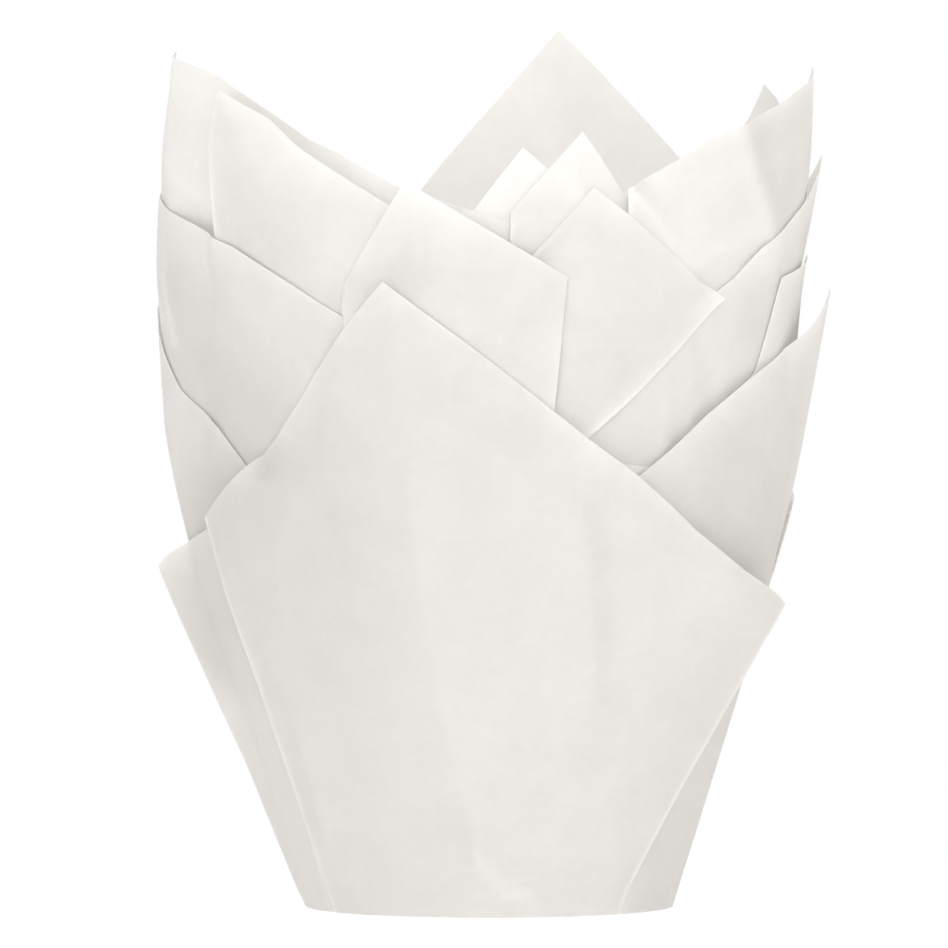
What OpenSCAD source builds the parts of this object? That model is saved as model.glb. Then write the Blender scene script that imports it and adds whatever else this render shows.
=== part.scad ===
// Tulip cupcake liner: square sheets of greaseproof paper, folded one inside the other round a
// straight round foot. Units are millimetres, Z is up, and the origin is the middle of the foot.
// Azimuths are degrees round the cup: 0 is the front (minus Y), 90 the right side (plus X).

/* [Cup] */

// radius of the round foot
base_r = 25.0; // [18:0.5:35]
// height of a low front petal, that the whole cup scales with
cup_h = 86.0; // [60:1:130]
// outward lean of the lower wall in degrees
low_flare = 17.5; // [8:0.5:26]
// outward lean of the upper wall in degrees
high_flare = 6.0; // [0:0.5:15]
// inward lean of the petals at the very top in degrees
top_closing = 7.0; // [0:0.5:15]
// height where the wall starts to turn steeper
turn_z = 38.0; // [20:1:60]
// length of that turn
turn_len = 24.0; // [10:1:50]
// height where the wall starts to close
close_z = 88.0; // [70:1:110]
// length of the closing turn
close_len = 20.0; // [10:1:40]
// how flat the paper lies between the ridges, 0 round to 1 flat
flatness = 0.75; // [0:0.05:1]

// how much fuller the left side of the cup is
left_full = 2.6; // [0:0.1:4]
// share of the distance between the sheets that is left at the two sides, where petals lie close
side_share = 0.45; // [0.45:0.05:1]

/* [Paper] */

// paper thickness, thicker than the real 0.06 so that it stays a solid
paper_t = 0.25; // [0.2:0.05:0.6]
// gap left between two layers of paper
layer_gap = 0.30; // [0.25:0.05:0.6]
// distance between one sheet's wall and the next, three folded layers of paper
sheet_pitch = 1.85; // [1.6:0.05:3]
// height of the crimped ring where the wall leaves the foot
crimp_h = 3.0; // [1.5:0.5:6]
// width that one crease takes at the foot
crease_w = 0.6; // [0.4:0.1:1.5]
// share of the folded layers' thickness that is left at the foot
rim_share = 0.6; // [0:0.1:1]

/* [Folds] */

// height where the hidden folds of the middle sheets start
inner_fold_z = 45.0; // [20:1:55]
// height at which the low fins stand away fully
fin_z = 46.0; // [30:1:60]
// number of rows of facets up a wall
wall_rows = 7; // [5:1:12]
// widest column of facets in degrees
column_az = 11.0; // [4:0.5:15]

/* [Hidden] */

// cup height that the heights and stand-offs in the tables are written for
table_h = 86;
k = cup_h / table_h;
g = paper_t + layer_gap;
// width of a crease in degrees at the foot
step_az = crease_w / base_r * 180 / PI;
// millimetres of arc for one degree, near the middle of the wall
arc_mm = 0.7;
// height at which the panels between the ridges are as flat as they get
flat_z = 50;
// azimuths between which the side petals lie close together, left and right, and heights
// between which they come together
LEFT_CLOSE = [232, 250, 280, 294];
RIGHT_CLOSE = [50, 65, 105, 120];
CLOSE_RISE = [45, 75];
// azimuths where the left side is fuller, and heights between which it fills out
LEFT_FULL = [236, 262, 272, 290];
FULL_RISE = [20, 66];
// heights between which each sheet's tips lean out or in
TIP_RISE = [[50, 84], [84, 98], [86, 104], [88, 114], [92, 108]];
// azimuths of the soft ridges between the flat panels, the same for every sheet
RIDGES = [-76, -14, 20, 72, 128, 180, 232, 284];

// A key is one line up the paper: azimuth at the foot, azimuth at the sheet's edge, height of the
// edge, layer of paper counted outward, how far a low fin stands away from the wall there, and
// how far a high tip does.

// a fold whose panel before the crease lies on top
function over_before(foot, az, z, tuck, under_z, fin = 0, tip = 0) = [
  [foot, az, z, 2, fin, tip],
  [foot + step_az, az, z, 1, fin, tip],
  [foot + 2 * step_az, az - tuck, under_z, 1, 0, 0],
  [foot + 3 * step_az, az - tuck, under_z, 0, 0, 0]
];
// a fold whose panel after the crease lies on top
function over_after(foot, az, z, tuck, under_z, fin = 0, tip = 0) = [
  [foot - 3 * step_az, az + tuck, under_z, 0, 0, 0],
  [foot - 2 * step_az, az + tuck, under_z, 1, 0, 0],
  [foot - step_az, az, z, 1, fin, tip],
  [foot, az, z, 2, fin, tip]
];

// the outermost sheet: low petals, loose fins at both sides of the front petal
OUTER = concat(
  [[-8, -18.8, 86, 2.6, 0.4, 0], [6, 0, 75.4, 2.2, 0, 0], [16, 18, 65, 2, 0.4, 0],
   [30, 41.5, 52.6, 2, 1.6, 0], [36, 55, 46.8, 2, 2.8, 0]],
  over_before(43, 71, 42, 50, 56, 4.2),
  [[50, 35.5, 62.6, 0, 0, 0], [56, 46, 67.8, 0, 0, 0], [62, 57, 72.4, 0, 0, 0.3],
   [70, 68, 76.8, 0, 0, 1.2], [82, 87, 84.8, 0, 0.2, 3.0]],
  over_after(128, 103, 55.6, 30, 47, 3.0),
  [[178, 178, 86, 2, 0, 0]],
  over_before(226, 246, 52, 32, 50, 1.0),
  [[252, 267, 82.5, 0, 0, 0.4], [258, 282, 71, 0, 0, 0.3], [262, 295, 66, 0, 0, 0.2]],
  [
    [266.0, 310, 57, 0, 0, 0], [267.4, 310, 57, 1, 0, 0], [268.0, 281, 48, 1, 0.6, 0],
    [268.8, 265, 46.5, 1, 5.3, 0], [270.2, 265, 46.5, 2, 5.3, 0], [285, 281, 50, 2, 0.8, 0],
    [301, 309, 56, 2, 0, 0], [302.3, 309, 56, 3, 0, 0], [303.7, 292.5, 53.8, 3, 0.6, 0],
    [305, 292.5, 53.8, 4, 0.6, 0], [318, 308, 61.7, 4, 0, 0], [328, 321, 70.1, 3.4, 0, 0]
  ]
);
// the second sheet
SECOND = concat(
  [[-15, -15.5, 99.4, 2, 0, 0]],
  over_before(8, 14, 86.7, 17, 64),
  [[34, 35, 61, 0, 0, 0], [46, 46, 66, 0, 0, 0], [55, 57, 70.5, 0, 0, 0], [59.5, 61, 74, 0, 0, 0],
   [64, 66.5, 86.4, 0, 0, 0.5], [84, 86, 89.4, 0, 0, 0.8]],
  over_after(140, 122, 70, 24, 62),
  [[174, 174, 98, 2, 0, 0]],
  over_before(222, 236, 72, 26, 66),
  [[260, 267, 98.2, 0, 0, 0], [290, 304, 90.6, 0, 0, 1.2]],
  over_after(338, 331.5, 85, 15, 76)
);
// the third sheet
THIRD = concat(
  [[-17, 19.5, 98.6, 2, 0, 0]],
  over_before(-12, 47.5, 84.2, 24, 71),
  [[45, 50, 87.4, 0, 0, 0], [56, 58, 90.6, 0, 0, 0.3], [90, 93, 103, 0, 0, 3.8]],
  over_after(150, 138, 74, 24, 70),
  [[180, 180, 95, 2, 0, 0]],
  over_before(228, 240, 76, 26, 70),
  [[250, 256, 94, 0, 0, 0], [274, 280, 90, 0, 0, 0]],
  over_after(292, 300.5, 111.7, 20, 92, 0, 2.6),
  [[303, 313.5, 107.8, 2, 0, 1.5], [309, 322, 103.4, 2, 0, 0.8], [316, 332.5, 99.2, 2, 0, 0],
   [326, 352, 92, 0, 0, 0]],
  over_after(338, 366, 88, 10, 85)
);
// the fourth sheet: the tall side and back petals
FOURTH = concat(
  [[10, 18, 106, 2, 0, 0.6], [17, 27, 98, 0, 0, 0]],
  over_after(30, 27.5, 98.4, 13, 90),
  [[42, 43, 103, 1.4, 0, 0.8], [55, 54, 106.5, 0.6, 0, 2.4], [70, 68, 111.5, 0, 0, 3.2],
   [84, 86, 114.9, 0, 0, 3.6], [110, 112, 105, 0, 0, 2.4]],
  over_after(140, 128, 96, 18, 90, 0, 0.6),
  [[167, 166, 120.6, 2, 0, 2.5]],
  over_before(196, 201, 93, 16, 90),
  [[230, 232, 104, 0, 0, 1.0], [272, 275, 117.1, 0, 0, 0.6], [294, 295.5, 113.4, 0, 0, 2.8],
   [309, 309.5, 108.5, 0, 0, 1.0], [319, 319, 105, 0, 0, 0.4], [327, 327, 103, 0, 0, 0],
   [340, 340.5, 98.8, 0, 0, 0]],
  over_after(364, 364, 95.4, 9, 92)
);
// the innermost sheet: its inner face is the inside of the cup
INNER = concat(
  [[4, 6.5, 103.9, 2, 0, 0.4], [22, 24, 94, 1, 0, 0]],
  over_before(36, 40, 86, 22, 80),
  [[80, 80, 98, 0, 0, 0.6], [100, 109, 112.8, 0, 0, 1.7], [113, 119, 104, 0, 0, 1.0]],
  over_after(146, 140, 82, 22, 78),
  [[178, 178, 93, 2, 0, 0]],
  over_before(214, 222, 76, 24, 76),
  [[240, 240, 92, 0, 0, 0], [262, 262, 108, 0, 0, 0]],
  over_after(318, 312, 84, 24, 78),
  [[345, 350, 90, 2, 0, 0]]
);

function rise(z, a, b) = min(1, max(0, (z - a) / (b - a)));
function ramp(u, w) = u <= 0 ? 0 : u >= w ? u - w / 2 : u * u / (2 * w);
// wall radius of the outer sheet at a height, before panels are flattened
function wall_r(z) = base_r + (tan(low_flare) * z
  - (tan(low_flare) - tan(high_flare)) * ramp(z - turn_z * k, turn_len * k)
  - (tan(high_flare) + tan(top_closing)) * ramp(z - close_z * k, close_len * k));
// azimuth brought into the range of the ridge list
function wrap(a) = a < RIDGES[0] ? wrap(a + 360) : a >= RIDGES[0] + 360 ? wrap(a - 360) : a;
function ridge_at(a, i = 0) = a < RIDGES[i + 1] ? i : ridge_at(a, i + 1);
// share of the radius that is left between two ridges
function panel_share(a, z) =
  let (w = wrap(a), i = ridge_at(w), h = (RIDGES[i + 1] - RIDGES[i]) / 2, m = RIDGES[i] + h,
       deep = 2 * pow(h / 180, 2) * flatness * min(1, z / (flat_z * k)))
  1 - deep * (1 + cos(180 * (w - m) / h)) / 2;

// 1 between the two middle azimuths of the list W, falling to 0 at its ends
function window(az, W) =
  let (w = az - 360 * floor(az / 360)) min(rise(w, W[0], W[1]), 1 - rise(w, W[2], W[3]));
// how closely the sheets lie at the two sides, 0 below the middle and 1 high up
function closeness(az, z) =
  max(window(az, LEFT_CLOSE), window(az, RIGHT_CLOSE)) * rise(z / k, CLOSE_RISE[0], CLOSE_RISE[1]);
// radius of a sheet's own wall, inset from the outermost one
function seat_r(az, z, inset) = wall_r(z) * panel_share(az, z)
  + left_full * window(az, LEFT_FULL) * rise(z / k, FULL_RISE[0], FULL_RISE[1])
  - inset * (1 - (1 - side_share) * closeness(az, z));

// columns of one sheet: the keys and evenly spaced lines between them
function between(a, b) =
  let (n = max(1, ceil(max(abs(b[1] - a[1]), abs(b[0] - a[0])) / column_az)))
  [for (i = [0 : n - 1]) a + (b - a) * i / n];
function columns(K) = let (n = len(K)) [
  for (i = [0 : n - 1])
    each between(K[i], i < n - 1 ? K[i + 1] : K[0] + [360, 360, 0, 0, 0, 0])
];
// height of row j on a column whose paper ends at height top
function row_z(j, top, lvl, fold_z, n) =
  j == 0 ? lvl : j == 1 ? lvl + crimp_h
  : fold_z > crimp_h
    ? (j == 2 ? fold_z * k : fold_z * k + (top * k - fold_z * k) * (j - 2) / (n - 2))
    : lvl + crimp_h + (top * k - lvl - crimp_h) * (j - 1) / (n - 1);
// how far up its fold a point is, 0 at the fold's start and 1 at the sheet's edge
function row_q(j, fold_z, n) =
  fold_z > crimp_h ? max(0, (j - 2) / (n - 2)) : max(0, (j - 1) / (n - 1));
// middle of the paper: azimuth, distance out from the sheet's own wall, and height
function mid_pt(c, j, lvl, fold_z, n, out_z) =
  let (z = row_z(j, c[2], lvl, fold_z, n), q = row_q(j, fold_z, n))
  [c[0] + (c[1] - c[0]) * q,
   (j == 0 ? rim_share : 1) * c[3] * g + k * c[4] * rise(z / k, 0, fin_z)
     + k * c[5] * rise(z / k, out_z[0], out_z[1]),
   z];
// unit normal of a step along the paper, in the plane of azimuth arc and distance out
function arc_step(a, b) = [(b[0] - a[0]) * arc_mm, b[1] - a[1]];
function unit(v) = v / max(1e-6, norm(v));
function turn90(v) = [-v[1], v[0]];
// mitred offset direction at point p with neighbours a and b
function mitre(a, p, b) =
  let (m = turn90(unit(arc_step(a, p))), n = turn90(unit(arc_step(p, b))))
  (m + n) / max(0.5, 1 + m * n);
// one side of the paper, side 1 out and -1 in
function skin(P, lvl, inset, side) = [
  for (j = [0 : len(P) - 1]) let (n = len(P[j]))
    for (i = [0 : n - 1])
      let (p = P[j][i],
           a = i == 0 ? P[j][n - 1] - [360, 0, 0] : P[j][i - 1],
           b = i == n - 1 ? P[j][0] + [360, 0, 0] : P[j][i + 1],
           m = j == 0 ? [0, 1] : mitre(a, p, b),
           r0 = seat_r(p[0], p[2], inset) + p[1],
           r = r0 + side * m[1] * paper_t / 2,
           az = p[0] + side * m[0] * paper_t / 2 / r0 * 180 / PI,
           z = j == 0 && side < 0 ? lvl + paper_t : p[2])
      [r * sin(az), -r * cos(az), z]
];
// a closed sheet of paper from its keys
module sheet(K, place, fold_z) {
  out_z = TIP_RISE[place];
  n = wall_rows;
  lvl = place * g;
  inset = place * sheet_pitch;
  C = columns(K);
  N = len(C);
  P = [for (j = [0 : n]) [for (c = C) mid_pt(c, j, lvl, fold_z, n, out_z)]];
  A = skin(P, lvl, inset, 1);
  B = skin(P, lvl, inset, -1);
  T = len(A);
  pts = concat(A, B, [[0, 0, lvl], [0, 0, lvl + paper_t]]);
  function nx(i) = (i + 1) % N;
  faces = concat(
    [for (j = [0 : n - 1], i = [0 : N - 1])
      each let (p = j * N + i, q = j * N + nx(i)) [[p, p + N, q], [q, p + N, q + N]]],
    [for (j = [0 : n - 1], i = [0 : N - 1])
      each let (p = T + j * N + i, q = T + j * N + nx(i)) [[p, q, p + N], [q, q + N, p + N]]],
    [for (i = [0 : N - 1])
      each let (p = n * N + i, q = n * N + nx(i)) [[p, p + T, q], [q, p + T, q + T]]],
    [for (i = [0 : N - 1]) [i, nx(i), 2 * T]],
    [for (i = [0 : N - 1]) [T + nx(i), T + i, 2 * T + 1]]
  );
  polyhedron(pts, faces, convexity = 12);
}

module outer_sheet() color("#F3F0EB") sheet(OUTER, 0, 0);
module second_sheet() color("#EFEBE5") sheet(SECOND, 1, inner_fold_z);
module third_sheet() color("#F1EEE9") sheet(THIRD, 2, inner_fold_z);
module fourth_sheet() color("#F5F3EF") sheet(FOURTH, 3, inner_fold_z);
module inner_sheet() color("#F8F6F3") sheet(INNER, 4, 0);

outer_sheet();
second_sheet();
third_sheet();
fourth_sheet();
inner_sheet();
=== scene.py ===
"""A tulip cupcake liner of greaseproof paper: five square sheets, folded one inside the other."""
import math

import bpy
import numpy as np
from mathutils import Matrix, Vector


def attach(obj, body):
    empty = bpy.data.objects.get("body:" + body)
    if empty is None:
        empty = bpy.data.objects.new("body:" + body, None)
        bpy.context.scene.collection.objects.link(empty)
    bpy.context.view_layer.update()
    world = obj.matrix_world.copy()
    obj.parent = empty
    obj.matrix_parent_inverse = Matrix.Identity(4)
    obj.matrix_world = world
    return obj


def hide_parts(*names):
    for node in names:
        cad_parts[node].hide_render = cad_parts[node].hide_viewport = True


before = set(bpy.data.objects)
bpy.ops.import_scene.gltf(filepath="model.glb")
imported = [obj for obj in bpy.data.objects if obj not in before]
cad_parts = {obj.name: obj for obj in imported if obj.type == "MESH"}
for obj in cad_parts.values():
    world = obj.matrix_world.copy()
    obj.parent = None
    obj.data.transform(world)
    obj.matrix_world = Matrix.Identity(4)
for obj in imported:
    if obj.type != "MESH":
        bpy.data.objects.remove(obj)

bl_info = {
    "name": "Tulip cupcake liner",
    "version": (1, 0, 0),
    "blender": (4, 5, 0),
    "location": "View3D > Sidebar > Liner",
    "description": "Folds the paper sheets of a tulip cupcake liner and lights them",
    "category": "Object",
}

MM = 0.001
SHEETS = ("outer_sheet", "second_sheet", "third_sheet", "fourth_sheet", "inner_sheet")

# Sizes that the CAD part has too, in millimetres and degrees. The wall leaves the foot at one
# slope, turns to a steeper one and closes again at the top
BASE_R = 25.0
LOW_FLARE = 17.5
HIGH_FLARE = 6.0
TOP_CLOSING = 7.0
TURN_Z, TURN_LEN = 38.0, 24.0
CLOSE_Z, CLOSE_LEN = 88.0, 20.0
# how flat the paper lies between its soft ridges, the height from which it is fully so, and
# the ridges' azimuths
FLATNESS, FLAT_Z = 0.75, 50.0
RIDGES = np.array([-76, -14, 20, 72, 128, 180, 232, 284.0])
# from layer to layer in a fold, from sheet to sheet, and half the thickness of a solid
LAYER = 0.55
SHEET_PITCH = 1.85
HALF_SOLID = 0.125
# height of the crimped ring at the foot, and the share of the layers' thickness left there
CRIMP_H, RIM_SHARE = 3.0, 0.6
# heights at which the low fins stand away fully and where the inner sheets' folds start
FIN_Z = 46.0
INNER_FOLD_Z = 45.0
# how much fuller the left side is, over which heights, and between which azimuths
LEFT_FULL, LEFT_Z, LEFT_AZ = 2.6, (20, 66), (236, 262, 272, 290)
# the share of the sheets' distance that is left at the sides, over which heights and azimuths
SIDE_SHARE, SIDE_Z = 0.45, (45, 75)
SIDES_AZ = (232, 250, 280, 294), (50, 65, 105, 120)
# width that one crease takes at the foot, in millimetres and in degrees
CREASE_W = 0.6
STEP = math.degrees(CREASE_W / BASE_R)

# Real paper is thinner than the solids, so its layers and sheets lie closer here than there.
# The sheets do so at the front and back, fully from a height on, and not at the two sides
PRESSED_LAYER = 0.2
PRESSED_PITCH = 0.9
CLOSER_Z, CLOSER_FRONT = 30, 1.6
# Half the height of a crease pressed by hand, as a share of a layer
PRESSED = 0.25
# Share of the gap by which a cut edge is pressed on to the sheet inside it, over how much of
# its height, and the most that it moves and the least that is left, in millimetres
EDGE_PRESS, EDGE_BAND, MOST_PRESS, LEAST_GAP = 0.96, 9.0, 1.15, 0.10
# Heights over which that begins, and the width of paper for each millimetre below a cut edge,
# which slopes
PRESS_Z, EDGE_SLOPE = (44, 58), 0.75
# A layer this much above the lowest one there isn't pressed, and over how much that begins
FOLDED_OVER, FOLDED_SOFT = 0.3, 0.8
# Height of the map in which each sheet finds the sheets inside it, the layer from which it
# looks for the lowest, and its value for none
MAP_Z, TOP_LAYER, NOTHING = 130, 4.0, -99.0

# Soft waves of handled paper: height in millimetres, waves round the cup, radians they turn by
# for each millimetre up, and where they start; and the heights over which they grow
WAVES = (0.10, 5, 0.06, 0), (0.09, 9, -0.045, 1.2), (0.06, 17, 0.11, 0.5), (0.04, 31, -0.2, 0)
WAVES_Z = 4, 45

# Painted glow that whitens a cut edge, on the outer sheet and on the others, and a painted
# highlight on each sheet's creases in layers above the given one; and how far each reaches in, in
# millimetres
EDGE_PAINTED_WHITE = 0.12, 0.4
CREASE_PAINTED_WHITE, CREASE_PAINT_LAYER = (0.4, 0.15, 0.9, 0.6, 0.3), 1.2
EDGE_PAINT_REACH, CREASE_PAINT_REACH = 3.5, 0.5
# Ridges (plus) and hollows (minus) that handling has left in the paper: the sheet, or "" for
# all of them, height and width in millimetres, and the line's azimuths and heights. A line
# that starts past BACK_AZ is counted on through 180 degrees
BACK_AZ = 150
CREASES = (
    ("outer_sheet", 0.9, 4.0, ((-15, 60), (-14.7, 51.6), (-11.4, 31), (-8.7, 21.5), (-2.9, 7.8))),
    ("outer_sheet", -0.30, 1.5, ((18.9, 57), (21.5, 42), (24.8, 30), (27, 23))),
    ("outer_sheet", 0.35, 1.2, ((-3.5, 6), (1.5, 3.4), (10.9, 2.2), (20, 2.0))),
    ("outer_sheet", -0.25, 0.9, ((2, 5.4), (9, 4.2), (17, 3.8))),
    ("outer_sheet", 0.5, 3.5, ((-55.6, 58), (-54.7, 47.5), (-51.7, 28), (-49.2, 10))),
    ("outer_sheet", -0.8, 6.0, ((-36, 64), (-33, 52), (-30, 40))),
    ("outer_sheet", 0.25, 2.5, ((40, 56), (37, 40), (33, 20))),
    ("", 0.45, 4.0, ((-69, 98), (-62.9, 90), (-50.8, 80), (-40.8, 76))),
    ("", -0.7, 6.0, ((-66, 84), (-58, 72), (-48, 65))),
    ("second_sheet", 0.2, 1.6, ((-27, 81.5), (-20.8, 85.2), (-11, 88.4))),
    ("second_sheet", 0.15, 1.6, ((-9.3, 83.2), (1.9, 79), (13.5, 72.2))),
    ("third_sheet", 0.2, 0.7, ((38.2, 72), (37.9, 63))),
    ("third_sheet", -0.2, 0.7, ((41.4, 73.5), (41.7, 62))),
    ("third_sheet", 0.24, 0.7, ((45.3, 74.5), (46, 64))),
    ("third_sheet", -0.2, 0.7, ((49.4, 75), (50.5, 65))),
    ("third_sheet", 0.2, 0.7, ((53, 75), (54.5, 66.5))),
    ("third_sheet", -0.16, 0.7, ((56.2, 76), (58, 68))),
    ("fourth_sheet", 0.9, 3.0, ((54.6, 108), (56, 106.2), (58.2, 100.5), (61.3, 96), (64, 89))),
    ("third_sheet", 0.3, 1.2, ((60.4, 90), (56.3, 86.7), (51.3, 83.2))),
    ("third_sheet", 0.35, 3.0, ((-59.7, 109), (-62.2, 102), (-64.3, 92))),
    ("third_sheet", 0.25, 3.5, ((-52.3, 105), (-41.1, 97), (-33.5, 88.6))),
    ("outer_sheet", 0.4, 3.5, ((76.2, 80), (65.1, 66.7), (57.8, 55.8))),
    ("fourth_sheet", 0.35, 3.0, ((170, 117), (164, 106), (172, 94))),
    ("fourth_sheet", -0.3, 4.0, ((188, 104), (181, 97), (178, 88))),
)
# Painted shade (plus) where folded layers lie behind the paper or a panel is bent out of the
# light, and painted highlights (minus) on slits and wrinkles: the sheet, how much, how soft
# the outline is in millimetres, and the outline's azimuths and heights
PAINTED_SHADE_PLACES = (
    ("fourth_sheet", 0.34, 1.2, ((54.4, 109), (58.2, 100.5), (61.3, 96), (65, 88), (110, 88),
                                 (110, 120), (66, 120))),
    ("fourth_sheet", 0.22, 12.0, ((34, 118), (60, 118), (64, 92), (50, 90))),
    ("fourth_sheet", 0.22, 4.0, ((38, 118), (76, 118), (76, 109), (60, 104), (38, 99))),
    ("inner_sheet", 0.20, 3.0, ((90, 120), (90, 98), (140, 98), (140, 120))),
    ("third_sheet", 0.20, 6.0, ((53, 86), (60, 91), (66, 94), (110, 106), (110, 80), (56, 77))),
    ("third_sheet", 0.08, 1.2, ((17, 77), (34.6, 77), (17, 65.6), (12.8, 70))),
    ("second_sheet", 0.14, 8.0, ((-80, 100), (-30, 92), (-30, 80), (-80, 84))),
    ("second_sheet", 0.24, 12.0, ((-80, 88), (-72, 84), (-58, 78), (-44, 74), (-36, 64),
                                  (-60, 56), (-80, 52))),
    ("second_sheet", -0.9, 0.9, ((-83, 92.6), (-82.4, 92.6), (-80.8, 87.4), (-81.6, 87.4))),
    ("second_sheet", -0.9, 0.9, ((-83.4, 86.6), (-82.6, 86.6), (-78.8, 77.6), (-79.8, 77.6))),
    ("second_sheet", 0.14, 2.0, ((-21, 88), (-15.4, 92), (-10, 86.5), (-14.4, 82.5))),
    ("outer_sheet", 0.07, 4.0, ((-70, 70), (-18, 100), (90, 50), (60, -30), (-60, -30))),
    ("outer_sheet", 0.06, 16.0, ((-76, 40), (-60, 64), (-24, 60), (-17, 34), (-40, 24), (-61, 30))),
    ("third_sheet", 0.30, 5.0, ((-80, 114), (-80, 92), (-62, 92), (-62, 114))),
    ("third_sheet", 0.10, 8.0, ((-60, 114), (-62, 92), (-40, 86), (-28, 94))),
    ("outer_sheet", 0.22, 8.0, ((-90, 54), (-66, 60), (-50, 70), (-42, 62), (-50, 52), (-70, 48))),
    ("outer_sheet", 0.04, 1.0, ((-60, 50), (-14.8, 60), (-13.5, 42), (-11.4, 31), (-8.7, 21.5),
                                (-4.5, 8), (-14, -20), (-60, -20))),
    ("outer_sheet", 0.10, 1.2, ((17, 57), (21.3, 57), (27.1, 29.7), (24, 29.7))),
    ("outer_sheet", 0.16, 8.0, ((46, 62), (60, 76), (80, 84), (80, 46), (60, 46), (46, 52))),
    ("outer_sheet", 0.34, 5.0, ((82, 95), (84, 79), (110, 79), (110, 95))),
    ("outer_sheet", 0.12, 6.0, ((-78, 76), (-70, 72), (-58, 62), (-66, 52), (-78, 46))),
    ("outer_sheet", 0.12, 12.0, ((44, 30), (64, 52), (110, 40), (110, -30), (44, -30))),
    ("outer_sheet", 0.12, 5.0, ((20, 68), (30, 62), (60, 50), (80, 44), (70, 38), (20, 58))),
    ("outer_sheet", 0.24, 7.0, ((-68, 48), (-120, 52), (-120, 34), (-74, 30), (-66, 40))),
    ("outer_sheet", 0.08, 10.0, ((-60, 46), (-110, 40), (-110, -30), (-60, -30))),
    ("outer_sheet", -0.6, 1.3, ((-4, 8.6), (-2, 6.4), (4, 3.6), (12, 2.6), (12, 3.2), (4, 4.6),
                                (-2, 7.6))),
)
# Azimuths between which the painted shade and highlights fade out toward the back
PAINTED_SHADE_FADE = 84, 112
# Millimetres of arc for one degree on the upper wall
ARC_MM = 0.7

# Softboxes: name, place in metres, side in metres and power in watts
LAMPS = (
    ("front", (0.10, -1.4, 0.45), 0.9, 6.0),
    ("back", (0.0, 0.9, 0.9), 0.8, 2.0),
)

# How finely a sheet is divided: degrees from line to line, lines in a crease's turn, rows on
# the floor, and millimetres from row to row at the tallest petal
COLUMN_DEG = 1.3
TURN_COLUMNS = 6
FOOT_ROWS = 3
ROW_MM = 1.3
# Points closer than this are one, sharper edges than this stay sharp, and a flat coordinate of
# 1 is this long
MERGE_MM, SHARP_DEG, UV_MM = 0.001, 50, 100

# How many cloudy patches, clumps of fibre and dents from handling the paper has to a metre,
# the depth of the grain and of the dents, and the share of the clumps in the tone
CLOUDS, FIBRES, DENTS = 190, 850, 160
GRAIN_DEEP, DENT_DEEP, FIBRE_SHARE = 0.08, 0.6, 0.45
# The white that the painted glow and highlights mix to, and what light that has come through the
# paper takes on
GLOW_PAINT_WHITE, VEIL = "#FFFEFC", "#FEFDFB"
# Share of the light that passes through, and the sheen
THROUGH, SHEEN = 0.50, 0.62

# Strength of the surround, everywhere and what is added behind
W_EVEN, W_BACK = 0.77, 0.30
# The floor: side, distances between which its shadow gives way to white, what is white of it
# at the liner, and how strongly it is lit from below
FLOOR, SHADOW_R, SHADOW_WHITE, FLOOR_LIT = 40.0, (0.03, 0.16), 0.8, 0.56
# What the lamps face, and the photo's middle: 2.2 mm left of the axis and 59.3 mm up
LAMP_AIM = 0, 0, 0.06
PHOTO_MIDDLE = -0.0022, 0, 0.0593
SENSOR_MM, FAR = 36.0, 20.0


def over_before(foot, az, z, tuck, under_z, fin=0.0, tip=0.0):
    """The four lines of a fold whose panel before the crease lies on top."""
    return [
        [foot, az, z, 2, fin, tip],
        [foot + STEP, az, z, 1, fin, tip],
        [foot + 2 * STEP, az - tuck, under_z, 1, 0, 0],
        [foot + 3 * STEP, az - tuck, under_z, 0, 0, 0],
    ]


def over_after(foot, az, z, tuck, under_z, fin=0.0, tip=0.0):
    """The four lines of a fold whose panel after the crease lies on top."""
    return [
        [foot - 3 * STEP, az + tuck, under_z, 0, 0, 0],
        [foot - 2 * STEP, az + tuck, under_z, 1, 0, 0],
        [foot - STEP, az, z, 1, fin, tip],
        [foot, az, z, 2, fin, tip],
    ]


# Each line up the paper: azimuth at the foot, azimuth at the edge, height of the edge, layer
# counted outward, and how far a low fin and a high tip stand away from the wall
OUTER = [
    [-8, -18.8, 86, 2.6, 0.4, 0], [6, 0, 75.4, 2.2, 0, 0], [16, 18, 65, 2, 0.4, 0],
    [30, 41.5, 52.6, 2, 1.6, 0], [36, 55, 46.8, 2, 2.8, 0],
    *over_before(43, 71, 42, 50, 56, 4.2),
    [50, 35.5, 62.6, 0, 0, 0], [56, 46, 67.8, 0, 0, 0], [62, 57, 72.4, 0, 0, 0],
    [70, 68, 76.8, 0, 0, 0.3], [82, 87, 84.8, 0, 0.2, 3.0],
    *over_after(128, 103, 55.6, 30, 47, 3.0),
    [178, 178, 86, 2, 0, 0],
    *over_before(226, 246, 52, 32, 50, 1.0),
    [252, 267, 82.5, 0, 0, 0.4], [258, 282, 71, 0, 0, 0], [262, 295, 66, 0, 0, 0],
    [266.0, 310, 57, 0, 0, 0], [267.4, 310, 57, 1, 0, 0], [268.0, 281, 48, 1, 0.6, 0],
    [268.8, 265, 46.5, 1, 5.3, 0], [270.2, 265, 46.5, 2, 5.3, 0], [285, 281, 50, 2, 0.8, 0],
    [301, 309, 56, 2, 0, 0], [302.3, 309, 56, 3, 0, 0], [303.7, 292.5, 53.8, 3, 0.6, 0],
    [305, 292.5, 53.8, 4, 0.6, 0], [318, 308, 61.7, 4, 0, 0], [328, 321, 70.1, 3.4, 0, 0],
]
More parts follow.
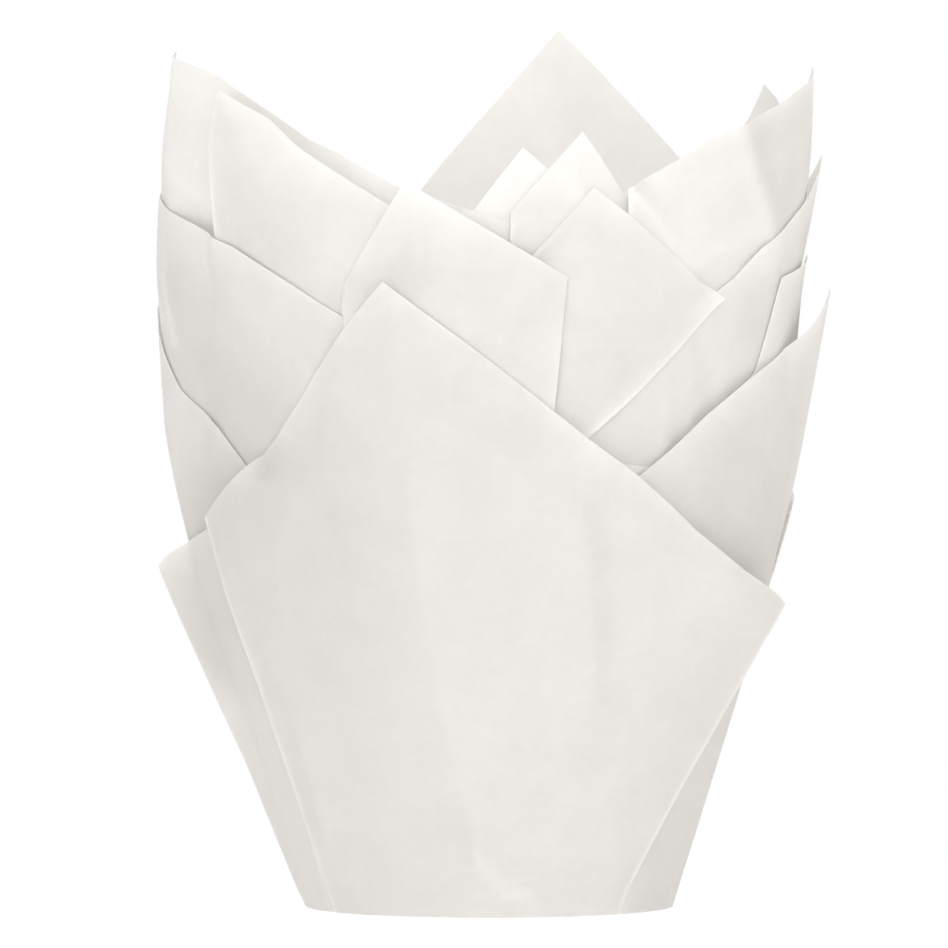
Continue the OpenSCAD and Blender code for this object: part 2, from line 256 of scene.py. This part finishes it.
SECOND = [
    [-15, -15.5, 99.4, 2, 0, 0],
    *over_before(8, 14, 86.7, 17, 64),
    [34, 35, 61, 0, 0, 0], [46, 46, 66, 0, 0, 0], [55, 57, 70.5, 0, 0, 0],
    [59.5, 61, 74, 0, 0, 0], [64, 66.5, 86.4, 0, 0, 0.1], [84, 86, 89.4, 0, 0, 0.8],
    *over_after(140, 122, 70, 24, 62),
    [174, 174, 98, 2, 0, 0],
    *over_before(222, 236, 72, 26, 66),
    [260, 267, 98.2, 0, 0, 0], [276, 284, 94.7, 0, 0, 0], [290, 304, 90.6, 0, 0, 0.4],
    *over_after(338, 331.5, 85, 15, 76),
]
THIRD = [
    [-20, 19.5, 98.6, 2, 0, 0], [-19, 34, 91.2, 2, 0, 0],
    *over_before(-17, 52, 83.6, 28.5, 71),
    [45, 55, 86.2, 0, 0, 0], [54, 60, 90.4, 0, 0, 0], [66, 70, 95, 0, 0, 0.5],
    [90, 93, 103, 0, 0, 3.8],
    *over_after(150, 138, 74, 24, 70),
    [180, 180, 95, 2, 0, 0],
    *over_before(228, 240, 76, 26, 70),
    [250, 256, 94, 0, 0, 0], [274, 280, 90, 0, 0, 0],
    *over_after(292, 300.5, 111.7, 20, 92, 0, 2.6),
    [303, 313.5, 107.8, 2, 0, 1.5], [309, 322, 103.4, 2, 0, 0.8],
    [316, 332.5, 99.2, 2, 0, 0], [326, 352, 92, 0, 0, 0],
    *over_after(338, 366, 88, 10, 85),
]
FOURTH = [
    [10, 18, 106, 2, 0, 0.6], [17, 27, 98, 0, 0, 0],
    *over_after(30, 27.5, 98.4, 13, 90),
    [42, 43, 103, 1.4, 0, 0.8], [55, 54, 106.5, 0.6, 0, 2.4], [70, 68, 111.5, 0, 0, 3.2],
    [84, 86, 114.9, 0, 0, 3.6], [110, 112, 105, 0, 0, 2.4],
    *over_after(140, 128, 96, 18, 90, 0, 0.6),
    [167, 166, 120.6, 2, 0, 2.5],
    *over_before(196, 201, 93, 16, 90),
    [230, 232, 104, 0, 0, 1.0], [272, 275, 117.1, 0, 0, 0.6], [294, 295.5, 113.4, 0, 0, 2.8],
    [309, 309.5, 108.5, 0, 0, 1.0], [319, 319, 105, 0, 0, 0.4], [327, 327, 103, 0, 0, 0],
    [340, 340.5, 98.8, 0, 0, 0],
    *over_after(364, 364, 95.4, 9, 92),
]
INNER = [
    [4, 6.5, 103.9, 2, 0, 0.4], [22, 24, 94, 1, 0, 0],
    *over_before(36, 40, 86, 22, 80),
    [80, 80, 98, 0, 0, 0.6], [100, 109, 112.8, 0, 0, 1.7], [113, 119, 104, 0, 0, 1.0],
    *over_after(146, 140, 82, 22, 78),
    [178, 178, 93, 2, 0, 0],
    *over_before(214, 222, 76, 24, 76),
    [240, 240, 92, 0, 0, 0], [262, 262, 108, 0, 0, 0],
    *over_after(318, 312, 84, 24, 78),
    [345, 350, 90, 2, 0, 0],
]
# Keys, height where the folds start, and heights between which the tips lean out
FOLDS = {
    "outer_sheet": (OUTER, CRIMP_H, (50, 84)),
    "second_sheet": (SECOND, INNER_FOLD_Z, (84, 98)),
    "third_sheet": (THIRD, INNER_FOLD_Z, (86, 104)),
    "fourth_sheet": (FOURTH, INNER_FOLD_Z, (88, 114)),
    "inner_sheet": (INNER, CRIMP_H, (92, 108)),
}


def ramp(u, w):
    """Grows from nothing to a straight line over the length w."""
    u = np.maximum(u, 0)
    return np.where(u >= w, u - w / 2, u * u / (2 * w))


def wall_r(z):
    """Wall radius of the outer sheet at a height, before the panels are flattened."""
    low, high, top = (math.tan(math.radians(a)) for a in (LOW_FLARE, HIGH_FLARE, TOP_CLOSING))
    turn = (low - high) * ramp(z - TURN_Z, TURN_LEN)
    close = (high + top) * ramp(z - CLOSE_Z, CLOSE_LEN)
    return BASE_R + low * z - turn - close


def panel_share(az, z):
    """Share of the radius that is left between two of the soft ridges."""
    a = (az - RIDGES[0]) % 360 + RIDGES[0]
    i = np.clip(np.searchsorted(RIDGES, a, side="right") - 1, 0, len(RIDGES) - 2)
    half = (RIDGES[i + 1] - RIDGES[i]) / 2
    mid = RIDGES[i] + half
    deep = 2 * (half / 180) ** 2 * FLATNESS * np.minimum(1, z / FLAT_Z)
    return 1 - deep * (1 + np.cos(np.pi * (a - mid) / half)) / 2


def rise(z, low, high):
    """From 0 at the height low to 1 at the height high."""
    return np.clip((z - low) / (high - low), 0, 1)


def crease_turn(a, b, way):
    """Columns of the half round turn that joins two layers at a crease. The turn bulges the way
    the paper was running when it came to the crease."""
    rows = []
    mid = (a[3] + b[3]) / 2
    pinch = PRESSED if a[3] > b[3] else -PRESSED
    for i in range(TURN_COLUMNS + 1):
        t = math.pi * i / TURN_COLUMNS
        mix = (1 - math.cos(t)) / 2
        row = [p + (q - p) * mix for p, q in zip(a, b)]
        row[3] = mid + pinch * math.cos(t)
        rows.append([*row, way * PRESSED * math.sin(t)])
    return rows


def columns(keys):
    """Every line up the sheet: the keys, and evenly spaced lines between them."""
    rows = []
    ring = keys + [[keys[0][0] + 360, keys[0][1] + 360, *keys[0][2:]]]
    way = 1
    for a, b in zip(ring[:-1], ring[1:]):
        if a[1] == b[1] and a[3] != b[3]:
            rows += crease_turn(a, b, way)
            continue
        n = max(2, math.ceil(max(abs(b[1] - a[1]), abs(b[0] - a[0])) / COLUMN_DEG))
        start = 1 if rows and rows[-1][0] == a[0] else 0
        for i in range(start, n):
            rows.append([p + (q - p) * i / n for p, q in zip(a, b)] + [0.0])
        way = 1 if b[1] > a[1] else -1
    rows.append([*ring[-1], 0.0])
    return np.array(rows)


def window(az, a, b, c, d):
    """1 between the azimuths b and c, falling to 0 at a and d."""
    w = az % 360
    return np.minimum(rise(w, a, b), 1 - rise(w, c, d))


def seat_r(az, z, inset):
    """Radius of a sheet's own wall: the sheets lie close at the two sides, and the left side
    is a little fuller."""
    close = np.maximum(*(window(az, *side) for side in SIDES_AZ)) * rise(z, *SIDE_Z)
    full = LEFT_FULL * window(az, *LEFT_AZ) * rise(z, *LEFT_Z)
    return wall_r(z) * panel_share(az, z) + full - inset * (1 - (1 - SIDE_SHARE) * close), close


def drape(az, z):
    """Soft waves that all layers share, in millimetres outward, so none cuts another."""
    a = np.radians(az)
    wave = sum(high * np.sin(n * a + turn * z + start) for high, n, turn, start in WAVES)
    return wave * rise(z, *WAVES_Z)


def from_line(u, v, line):
    """Distance of points on the unrolled wall from a line of azimuths and heights."""
    nearest = np.full(u.shape, 1e9)
    for (a0, z0), (a1, z1) in zip(line[:-1], line[1:]):
        du, dv = (a1 - a0) * ARC_MM, z1 - z0
        t = np.clip(((u - a0 * ARC_MM) * du + (v - z0) * dv) / (du * du + dv * dv), 0, 1)
        nearest = np.minimum(nearest, np.hypot(u - a0 * ARC_MM - t * du, v - z0 - t * dv))
    return nearest


def inside(u, v, outline):
    """Whether points on the unrolled wall lie inside an outline of azimuths and heights."""
    odd = np.zeros(u.shape, bool)
    for (a0, z0), (a1, z1) in zip(outline, outline[1:] + outline[:1]):
        u0, u1 = a0 * ARC_MM, a1 * ARC_MM
        if z0 != z1:
            crossed = (v < z0) != (v < z1)
            odd ^= crossed & (u < u0 + (u1 - u0) * (v - z0) / (z1 - z0))
    return odd


def painted_shade_at(name, az, z):
    """Painted shade at each point, 1 at most; minus is a painted highlight."""
    u = ((az + 180) % 360 - 180) * ARC_MM
    painted_shade = 0 * u
    for sheet, amount, soft, outline in PAINTED_SHADE_PLACES:
        if sheet == name:
            apart = from_line(u, z, outline + outline[:1])
            signed = np.where(inside(u, z, outline), apart, -apart)
            painted_shade = painted_shade + amount * rise(signed, -soft / 2, soft / 2)
    # the photo shows the front only, so toward the back the paper is left even
    return np.minimum(painted_shade, 1) * (1 - rise(np.abs(u) / ARC_MM, *PAINTED_SHADE_FADE))


def neighbours(grid, pick, steps):
    """Gives every cell of a map of the wall the greatest, least or mean of its neighbours."""
    for _ in range(steps):
        grid = pick([np.roll(grid, s, 0) for s in (-1, 0, 1)], axis=0)
        tall = np.pad(grid, ((0, 0), (1, 1)), "edge")
        grid = pick([tall[:, :-2], tall[:, 1:-1], tall[:, 2:]], axis=0)
    return grid


def look_up(grid, az, z):
    """Reads a map of the wall, of one degree by one millimetre, between its cells."""
    u, v = az % 360 - 0.5, np.clip(z - 0.5, 0, grid.shape[1] - 1.001)
    i, j = np.floor(u).astype(int), np.floor(v).astype(int)
    p, q = u - i, v - j
    low = grid[i % 360, j] * (1 - q) + grid[i % 360, j + 1] * q
    high = grid[(i + 1) % 360, j] * (1 - q) + grid[(i + 1) % 360, j + 1] * q
    return low * (1 - p) + high * p


def note(grid, keep, az, z, value):
    """Writes values into the cells of a map, which keep the greatest or the least of them."""
    i = np.floor(az % 360).astype(int) % 360
    j = np.clip(np.floor(z), 0, MAP_Z - 1).astype(int)
    keep.at(grid, (i, j), value)
    return grid


def seated(r, az, z, place, layer, share, inner):
    """Presses a cut edge on to the sheets inside it, and lifts paper that would cut them. Also
    adds the sheet to the map of what the next one out has to lie on."""
    layer = layer + 0 * z
    wall = seat_r(az, z, 0)[0]
    lowest = note(np.full((360, MAP_Z), TOP_LAYER), np.minimum, az, z, layer)
    lowest = neighbours(neighbours(lowest, np.min, 1), np.mean, 2)
    folded_over = rise(layer - look_up(lowest, az, z), FOLDED_OVER, FOLDED_OVER + FOLDED_SOFT)
    if (inner > NOTHING).any():
        soft = np.where(inner > NOTHING, inner, -(place + 1) * SHEET_PITCH)
        soft = neighbours(neighbours(soft, np.max, 1), np.mean, 2)
        under = wall + look_up(soft, az, z) + LEAST_GAP
        lift = np.maximum(0, under - (r - layer * PRESSED_LAYER))
        press = np.clip(r - under, 0, MOST_PRESS) * share * (1 - folded_over) * EDGE_PRESS
        r = r + lift - press
    mine = note(np.full((360, MAP_Z), NOTHING), np.maximum, az, z, r - wall)
    return r, np.maximum(inner, neighbours(mine, np.max, 1))


def creased(name, az, z):
    """What the ridges and hollows of CREASES add to a sheet's radius."""
    front, back = ((az + 180) % 360 - 180) * ARC_MM, (az % 360) * ARC_MM
    add_r = 0 * front
    for sheet, high, wide, line in CREASES:
        if sheet in ("", name):
            u = back if line[0][0] > BACK_AZ else front
            add_r = add_r + high * np.exp(-from_line(u, z, line) / wide)
    return add_r


def closed_up(r, az, z, place, close):
    """Brings a sheet closer to those outside it, front and back. Its outline as seen from the
    front doesn't move."""
    toward = np.cos(np.radians(az))
    near = place * (SHEET_PITCH - PRESSED_PITCH) * (1 - close) * rise(z, 0, CLOSER_Z)
    near = near * np.minimum(1, CLOSER_FRONT * toward ** 2)
    depth = np.sqrt((r * toward) ** 2 + 2 * r * near + near ** 2)
    side = r * np.sin(np.radians(az))
    return np.hypot(side, depth), np.degrees(np.arctan2(side, np.sign(toward) * depth))


def unrolled(foot, layer, up):
    """The sheet's own flat coordinates in millimetres: the floor, and the wall laid out round
    it."""
    floor = np.linspace(0, BASE_R, FOOT_ROWS + 1)[:-1, None] + 0 * foot
    r = np.concatenate([floor, BASE_R + up])
    a = np.radians(foot + layer)
    return np.stack([r * np.cos(a), r * np.sin(a)], -1)


def painted_glow_and_shade(place, c, from_edge, painted_shade):
    """How much painted glow (plus) or painted shade (minus) each point gets in its colour: a
    painted glow along a cut edge, a painted highlight along a crease, less the painted shade given
    for it."""
    edge, layer, turn = c.T[[1, 3, 6]]
    along = np.concatenate([[0], np.cumsum(np.abs(np.diff(edge)))]) * ARC_MM
    from_crease = np.min(np.abs(along[:, None] - along[turn != 0][None, :]), 1)
    crease = CREASE_PAINTED_WHITE[place] * np.exp(-from_crease / CREASE_PAINT_REACH) * (layer > CREASE_PAINT_LAYER)
    white = np.maximum(EDGE_PAINTED_WHITE[min(place, 1)] * np.exp(-from_edge / EDGE_PAINT_REACH), crease)
    white = white - painted_shade * (1 - 0.5 * white)
    return np.concatenate([np.zeros((FOOT_ROWS, len(c))), white])


def folded(name, inner):
    """Points of a sheet as rows by columns: first the floor from its middle, then the wall.
    The map inner holds the sheets that are already inside it."""
    keys, fold_z, tip_z = FOLDS[name]
    place = SHEETS.index(name)
    level = place * LAYER + HALF_SOLID
    c = columns(keys)
    foot, edge, top, layer, fin, tip, turn = c.T
    up = (top - level) * np.linspace(0, 1, math.ceil(top.max() / ROW_MM) + 1)[:, None]
    z = level + up
    az = foot + (edge - foot) * np.clip((z - fold_z) / (top - fold_z), 0, 1)
    r, close = seat_r(az, z, place * SHEET_PITCH)
    r = r + layer * PRESSED_LAYER * (RIM_SHARE + (1 - RIM_SHARE) * rise(z, 0, CRIMP_H))
    r = r + fin * rise(z, 0, FIN_Z) + tip * rise(z, *tip_z)
    r = r + drape(az, z) + creased(name, az, z)
    # a cut edge lies on the sheet inside it, unless it stands away as a fin or a tip
    from_edge = (top - z) * EDGE_SLOPE
    lies = (1 - np.minimum(1, np.abs(fin + tip))) * rise(z, *PRESS_Z)
    lies = lies * (1 - rise(from_edge, 0, EDGE_BAND))
    # painted glow on cut edges and creases, less the painted shade, for the material to mix in
    white = painted_glow_and_shade(place, c, from_edge, painted_shade_at(name, az, z))
    az = az + np.degrees(turn * PRESSED_LAYER * rise(z, 0, CRIMP_H) / r)
    r, az = closed_up(r, az, z, place, close)
    r, inner = seated(r, az, z, place, layer, lies, inner)
    wall = np.stack([r * np.sin(np.radians(az)), -r * np.cos(np.radians(az)), z], -1)
    floor = wall[0] * np.linspace(0, 1, FOOT_ROWS + 1)[:-1, None, None]
    floor[..., 2] = level
    return np.concatenate([floor, wall]), unrolled(foot, layer, up), white, inner


def deselect():
    """Leaves nothing selected."""
    if bpy.context.object and bpy.context.object.mode != "OBJECT":
        bpy.ops.object.mode_set(mode="OBJECT")
    bpy.ops.object.select_all(action="DESELECT")


def shape_grid(mesh, pts, flat, white):
    """Moves the points of a flat grid to their places, and gives it its flat coordinates and
    the attribute of painted light and shade that its material reads."""
    rows, cols = white.shape
    co = np.empty(len(mesh.vertices) * 3)
    mesh.vertices.foreach_get("co", co)
    co = co.reshape(-1, 3)
    i = np.rint((co[:, 0] + 1) / 2 * (cols - 1)).astype(int)
    j = np.rint((co[:, 1] + 1) / 2 * (rows - 1)).astype(int)
    mesh.vertices.foreach_set("co", (pts[j, i] * MM).ravel())
    of_loop = np.empty(len(mesh.loops), dtype=int)
    mesh.loops.foreach_get("vertex_index", of_loop)
    mesh.uv_layers.active.data.foreach_set("uv", (flat[j, i][of_loop] / UV_MM).ravel())
    # the attribute holds the painted glow on edges and creases, and the painted shade
    backlight_and_painted_light = mesh.attributes.new("painted_light_and_shade", "FLOAT", "POINT")
    backlight_and_painted_light.data.foreach_set("value", white[j, i].astype(np.float32))
    mesh.update()


def fold_sheet(name, thickness, inner):
    """A flat grid of paper, folded to its place, closed at the middle and given its thickness."""
    pts, flat, white, inner = folded(name, inner)
    rows, cols = white.shape
    deselect()
    bpy.ops.mesh.primitive_grid_add(x_subdivisions=cols - 1, y_subdivisions=rows - 1, size=2)
    o = bpy.context.object
    o.name = name + "_paper"
    shape_grid(o.data, pts, flat, white)
    bpy.ops.object.mode_set(mode="EDIT")
    bpy.ops.mesh.select_all(action="SELECT")
    bpy.ops.mesh.remove_doubles(threshold=MERGE_MM * MM)
    bpy.ops.mesh.normals_make_consistent(inside=False)
    bpy.ops.object.mode_set(mode="OBJECT")
    paper = o.modifiers.new("paper", "SOLIDIFY")
    paper.thickness = thickness
    paper.offset = 0
    bpy.ops.object.modifier_apply(modifier=paper.name)
    bpy.ops.object.shade_smooth_by_angle(angle=math.radians(SHARP_DEG))
    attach(o, "root")
    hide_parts(name)
    return o, inner


def linear(hex_colour):
    """sRGB hex to the linear values that Blender works in."""
    parts = [int(hex_colour[i:i + 2], 16) / 255 for i in (1, 3, 5)]
    return [c / 12.92 if c <= 0.04045 else ((c + 0.055) / 1.055) ** 2.4 for c in parts] + [1.0]


def add(tree, kind, settings=None, **links):
    """Adds a node with its settings, and links or sets its inputs by name."""
    node = tree.nodes.new(kind)
    for key, value in (settings or {}).items():
        setattr(node, key, value)
    for key, value in links.items():
        socket = node.inputs[int(key[1:])] if key[0] == "i" and key[1:].isdigit() \
            else node.inputs[key.replace("_", " ")]
        if isinstance(value, bpy.types.NodeSocket):
            tree.links.new(value, socket)
        else:
            socket.default_value = value
    return node


def paper_tone(t, cloud, fibre, light, dark, painted_shade):
    """The paper's colour, with a painted glow at cut edges and creases and painted shade where it
    is given, and that of the light which has come through it, with the same painted shade."""
    both = add(t, "ShaderNodeMix", {"data_type": "FLOAT"}, i0=FIBRE_SHARE, i2=cloud, i3=fibre)
    tone = add(t, "ShaderNodeValToRGB", Fac=both.outputs[0])
    for element, position, colour in zip(tone.color_ramp.elements, (0.3, 0.7), (dark, light)):
        element.position = position
        element.color = colour
    # painted glow (plus) and painted shade (minus), read from the sheet
    backlight_and_painted_light = add(t, "ShaderNodeAttribute", {"attribute_name": "painted_light_and_shade"}).outputs["Fac"]
    less = add(t, "ShaderNodeMath", {"operation": "MULTIPLY", "use_clamp": True}, i0=backlight_and_painted_light,
               i1=-1.0).outputs[0]
    mix = {"data_type": "RGBA"}
    # the painted glow mixes toward white, then the painted shade toward its dark colour
    tone = add(t, "ShaderNodeMix", mix, i0=backlight_and_painted_light, i6=tone.outputs["Color"], i7=linear(GLOW_PAINT_WHITE))
    tone = add(t, "ShaderNodeMix", mix, i0=less, i6=tone.outputs[2], i7=painted_shade)
    veil = add(t, "ShaderNodeMix", mix, i0=less, i6=linear(VEIL), i7=painted_shade)
    return tone.outputs[2], veil.outputs[2]


def greaseproof(name, light, dark, painted_shade):
    """Greaseproof paper: thin beaten pulp, pressed smooth. Light passes through it, it has a
    faint sheen, and its fibres show as soft cloudy patches and small dents."""
    m = bpy.data.materials.new(name)
    m.use_nodes = True
    t = m.node_tree
    t.nodes.clear()
    place = add(t, "ShaderNodeTexCoord").outputs["Object"]
    cloud = add(t, "ShaderNodeTexNoise", Vector=place, Scale=CLOUDS, Detail=2.0,
                Roughness=0.55).outputs["Fac"]
    fibre = add(t, "ShaderNodeTexNoise", Vector=place, Scale=FIBRES, Detail=1.0,
                Roughness=0.6).outputs["Fac"]
    dents = add(t, "ShaderNodeTexNoise", Vector=place, Scale=DENTS, Detail=1.0)
    bump = add(t, "ShaderNodeBump", Strength=0.22, Distance=DENT_DEEP * MM,
               Height=dents.outputs["Fac"])
    grain = add(t, "ShaderNodeBump", Strength=0.20, Distance=GRAIN_DEEP * MM, Height=fibre,
                Normal=bump.outputs["Normal"])
    tone, veil = paper_tone(t, cloud, fibre, light, dark, painted_shade)
    paper = add(t, "ShaderNodeBsdfPrincipled", Base_Color=tone, Roughness=SHEEN, IOR=1.45,
                Normal=grain.outputs["Normal"])
    # what passes through meets little pulp, so it stays nearly white, save for the painted shade
    through = add(t, "ShaderNodeBsdfTranslucent", Color=veil)
    mix = add(t, "ShaderNodeMixShader", i0=THROUGH, i1=paper.outputs[0], i2=through.outputs[0])
    add(t, "ShaderNodeOutputMaterial", Surface=mix.outputs[0])
    return m


class LinerPaper(bpy.types.PropertyGroup):
    """What a user would change on the paper."""
    thickness: bpy.props.FloatProperty(
        name="Thickness", description="Thickness of the shown paper", unit="LENGTH",
        default=0.08 * MM, min=0.04 * MM, max=0.3 * MM, precision=5)
    light: bpy.props.FloatVectorProperty(
        name="Light tone", description="Colour of the paper's lighter patches",
        subtype="COLOR", size=4, min=0, max=1, default=linear("#F5F3F1"))
    dark: bpy.props.FloatVectorProperty(
        name="Dark tone", description="Colour of the paper's denser patches",
        subtype="COLOR", size=4, min=0, max=1, default=linear("#ECEAE7"))
    # the colour that the painted shade darkens the paper to, where layers are stacked or a panel
    # turns from the light
    painted_shade: bpy.props.FloatVectorProperty(
        name="Dense tone", description="Colour of the paper where layers are stacked",
        subtype="COLOR", size=4, min=0, max=1, default=linear("#D6D2CD"))


class LinerStage(bpy.types.PropertyGroup):
    """What a user would change on the picture."""
    distance: bpy.props.FloatProperty(
        name="Camera distance", description="From the camera to the liner",
        default=1.5, unit="LENGTH")
    elevation: bpy.props.FloatProperty(
        name="Camera elevation", description="How far the camera looks down",
        default=math.radians(1.5), subtype="ANGLE")
    view_width: bpy.props.FloatProperty(
        name="View width", description="Width of the picture at the liner",
        default=0.1299, unit="LENGTH")


class LINER_OT_sheets(bpy.types.Operator):
    """Folds the five sheets of paper"""
    bl_idname = "liner.sheets"
    bl_label = "Fold the sheets"

    def execute(self, context):
        s = context.scene.liner_paper
        inner = np.full((360, MAP_Z), NOTHING)
        for name in reversed(SHEETS):
            o, inner = fold_sheet(name, s.thickness, inner)
            o.data.materials.clear()
            o.data.materials.append(greaseproof(name + " greaseproof", s.light, s.dark, s.painted_shade))
        return {"FINISHED"}


class LINER_OT_stage(bpy.types.Operator):
    """Sets the white floor, the lamps and the camera"""
    bl_idname = "liner.stage"
    bl_label = "Set the stage"

    def execute(self, context):
        set_stage(context.scene.liner_stage)
        return {"FINISHED"}


class LINER_PT_panel(bpy.types.Panel):
    """Lists the liner's steps"""
    bl_label = "Liner"
    bl_idname = "LINER_PT_panel"
    bl_space_type = "VIEW_3D"
    bl_region_type = "UI"
    bl_category = "Liner"

    def draw(self, context):
        for group in (context.scene.liner_paper, context.scene.liner_stage):
            for prop in group.bl_rna.properties:
                if prop.identifier not in ("rna_type", "name"):
                    self.layout.prop(group, prop.identifier)
        self.layout.operator("liner.sheets")
        self.layout.operator("liner.stage")


def shown_white(t):
    """1 for rays from the camera, in a gloss and through clear glass, which show the white
    surround as it is; 0 for the rays that light the paper."""
    path = add(t, "ShaderNodeLightPath").outputs
    glass = add(t, "ShaderNodeMath", {"operation": "SUBTRACT", "use_clamp": True},
                i0=path["Is Transmission Ray"], i1=path["Is Diffuse Ray"]).outputs[0]
    shown = add(t, "ShaderNodeMath", {"operation": "MAXIMUM"}, i0=path["Is Camera Ray"],
                i1=path["Is Glossy Ray"]).outputs[0]
    return add(t, "ShaderNodeMath", {"operation": "MAXIMUM"}, i0=shown, i1=glass).outputs[0]


def add_lamp(name, place, size, power):
    """A white area lamp at place that faces the liner."""
    deselect()
    bpy.ops.object.light_add(type="AREA", location=place)
    o = bpy.context.object
    o.name = name
    o.data.shape = "SQUARE"
    o.data.size = size
    o.data.energy = power
    o.data.color = linear("#FFFFFF")[:3]
    way = Vector(LAMP_AIM) - Vector(place)
    o.rotation_euler = way.to_track_quat("-Z", "Y").to_euler()


def set_floor():
    """A sheet of white acrylic, faintly lit from below. Near the liner it shows the liner's
    shadow, and farther out it is as white as the surround."""
    deselect()
    bpy.ops.mesh.primitive_plane_add(size=FLOOR, location=(0, 0, 0))
    floor = bpy.context.object
    floor.name = "floor"
    m = bpy.data.materials.new("lit white acrylic")
    m.use_nodes = True
    t = m.node_tree
    t.nodes.clear()
    place = add(t, "ShaderNodeTexCoord").outputs["Object"]
    away = add(t, "ShaderNodeVectorMath", {"operation": "LENGTH"}, Vector=place).outputs["Value"]
    near = add(t, "ShaderNodeMapRange", {"interpolation_type": "SMOOTHSTEP"}, Value=away,
               From_Min=SHADOW_R[0], From_Max=SHADOW_R[1], To_Min=SHADOW_WHITE,
               To_Max=1.0).outputs[0]
    seen = add(t, "ShaderNodeMath", {"operation": "MULTIPLY"}, i0=near,
               i1=shown_white(t)).outputs[0]
    body = add(t, "ShaderNodeBsdfDiffuse", Color=linear("#F4F4F4"))
    lit = add(t, "ShaderNodeEmission", Color=linear("#FFFFFF"), Strength=FLOOR_LIT)
    body = add(t, "ShaderNodeAddShader", i0=body.outputs[0], i1=lit.outputs[0])
    white = add(t, "ShaderNodeEmission", Color=linear("#FFFFFF"), Strength=1.0)
    mix = add(t, "ShaderNodeMixShader", i0=seen, i1=body.outputs[0], i2=white.outputs[0])
    add(t, "ShaderNodeOutputMaterial", Surface=mix.outputs[0])
    floor.data.materials.append(m)


def set_surround():
    """A white surround. It gives more light from behind, so thin paper glows against it."""
    world = bpy.data.worlds.new("white surround")
    bpy.context.scene.world = world
    world.use_nodes = True
    t = world.node_tree
    t.nodes.clear()
    seen = add(t, "ShaderNodeBackground", Color=linear("#FFFFFF"), Strength=1.0)
    way = add(t, "ShaderNodeTexCoord").outputs["Generated"]
    parts = add(t, "ShaderNodeSeparateXYZ", Vector=way)
    backlight_and_painted_light = add(t, "ShaderNodeMath", {"operation": "MAXIMUM"}, i0=parts.outputs["Y"],
                 i1=0.0).outputs[0]
    power = add(t, "ShaderNodeMath", {"operation": "MULTIPLY_ADD"}, i0=backlight_and_painted_light, i1=W_BACK,
                i2=W_EVEN).outputs[0]
    light = add(t, "ShaderNodeBackground", Color=linear("#FFFFFF"), Strength=power)
    mix = add(t, "ShaderNodeMixShader", i0=shown_white(t), i1=light.outputs[0],
              i2=seen.outputs[0])
    add(t, "ShaderNodeOutputWorld", Surface=mix.outputs[0])


def set_camera(s):
    """A level camera, far off, that takes in the photo's frame."""
    deselect()
    bpy.ops.object.camera_add()
    cam = bpy.context.object
    back = Vector((0, -math.cos(s.elevation), math.sin(s.elevation))) * s.distance
    cam.location = Vector(PHOTO_MIDDLE) + back
    cam.rotation_euler = (-back).to_track_quat("-Z", "Y").to_euler()
    cam.data.sensor_width = SENSOR_MM
    cam.data.lens = SENSOR_MM * s.distance / s.view_width
    cam.data.clip_end = FAR
    bpy.context.scene.camera = cam


def set_stage(s):
    """White floor and surround, soft lamps and a level camera."""
    set_floor()
    set_surround()
    for lamp in LAMPS:
        add_lamp(*lamp)
    set_camera(s)
    bpy.context.scene.view_settings.view_transform = "Standard"


CLASSES = (LinerPaper, LinerStage, LINER_OT_sheets, LINER_OT_stage, LINER_PT_panel)


def register():
    """Makes the steps and their values known to Blender."""
    for c in CLASSES:
        bpy.utils.register_class(c)
    bpy.types.Scene.liner_paper = bpy.props.PointerProperty(type=LinerPaper)
    bpy.types.Scene.liner_stage = bpy.props.PointerProperty(type=LinerStage)


def unregister():
    """Takes the steps and their values away again."""
    del bpy.types.Scene.liner_paper
    del bpy.types.Scene.liner_stage
    for c in reversed(CLASSES):
        bpy.utils.unregister_class(c)


def main():
    """Runs the steps in order."""
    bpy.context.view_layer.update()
    register()
    bpy.ops.liner.sheets()
    bpy.ops.liner.stage()


if __name__ == "__main__":
    main()
